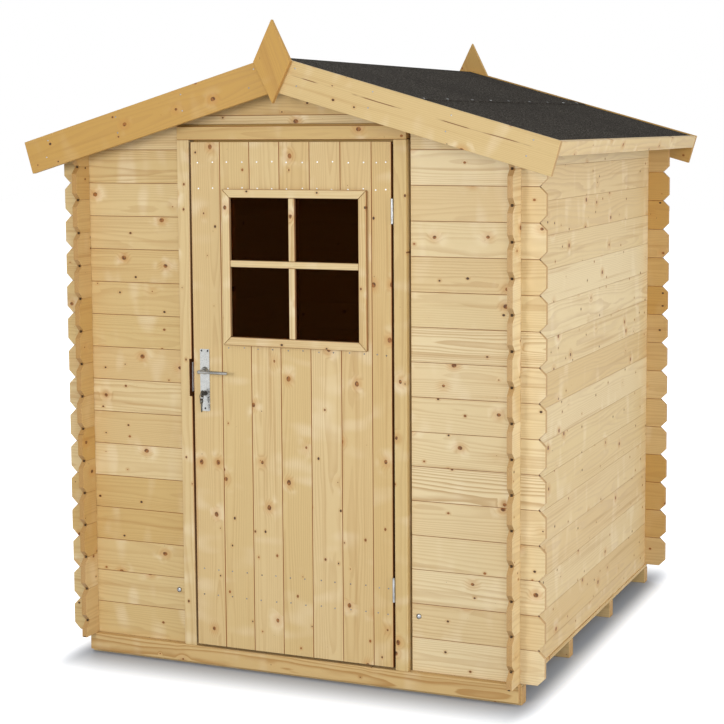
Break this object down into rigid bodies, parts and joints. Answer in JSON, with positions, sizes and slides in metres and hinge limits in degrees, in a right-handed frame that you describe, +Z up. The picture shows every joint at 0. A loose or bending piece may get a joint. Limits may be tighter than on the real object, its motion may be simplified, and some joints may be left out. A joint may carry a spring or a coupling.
{
  "type": "wooden garden shed",
  "caption": "Garden shed of pale interlocking pine log boards with notched corners, felt gable roof, diamond finials and a hinged board door with a square window.",
  "frame": {"origin": "on the ground under the middle of the shed's bounding box", "axes": "+Z up, -Y out of the front with the door, +X to the right seen from the front"},
  "size_m": [1.882, 1.908, 2.1606],
  "materials": {
    "pine": "bare planed softwood",
    "golden_pine": "bare planed softwood, yellowed",
    "roofing_felt": "mineral surfaced bitumen felt",
    "zinc_steel": "zinc plated",
    "satin_aluminium": "satin",
    "window_glass": "clear"
  },
  "bodies": {
    "shed": {"floor_joists": "pine", "floor_deck": "pine", "plinth_board": "pine", "front_wall_left": "pine", "front_wall_right": "pine", "front_gable": "pine", "back_wall": "pine", "left_wall": "pine", "right_wall": "pine", "ridge_purlin": "pine", "purlin_left": "pine", "purlin_right": "pine", "roof_deck_left": "pine", "roof_deck_right": "pine", "felt_low_left": "roofing_felt", "felt_low_right": "roofing_felt", "felt_top_left": "roofing_felt", "felt_top_right": "roofing_felt", "bargeboard_front_left": "golden_pine", "bargeboard_front_right": "golden_pine", "bargeboard_back_left": "golden_pine", "bargeboard_back_right": "golden_pine", "eave_board_left": "pine", "eave_board_right": "pine", "finial_front": "golden_pine", "finial_back": "golden_pine", "door_post_left": "pine", "door_post_right": "pine", "door_head": "pine", "frame_battens": "pine", "strike_plate": "zinc_steel", "hinge_frame_leaves": "zinc_steel"},
    "door": {"door_board_left": "pine", "door_board_right": "pine", "door_panel": "pine", "door_ledges": "pine", "window_trim": "pine", "window_beads": "pine", "window_pane": "window_glass", "lock_plate": "satin_aluminium", "lock_case": "zinc_steel", "lock_cylinder": "zinc_steel", "hinge_door_leaves": "zinc_steel"},
    "lever": {"lever_handle": "satin_aluminium"}
  },
  "joints": [
    {"name": "door_hinge", "type": "hinge", "parent": "shed", "child": "door", "pos_m": [0.3615, -0.8412, 0], "axis": [0, 0, 1], "range_deg": [0, 140]},
    {"name": "lever_turn", "type": "hinge", "parent": "door", "child": "lever", "pos_m": [-0.315, -0.838, 1.017], "axis": [0, 1, 0], "range_deg": [0, 40], "stiffness_Nm_per_rad": 0.6, "springref_deg": -28.65}
  ]
}
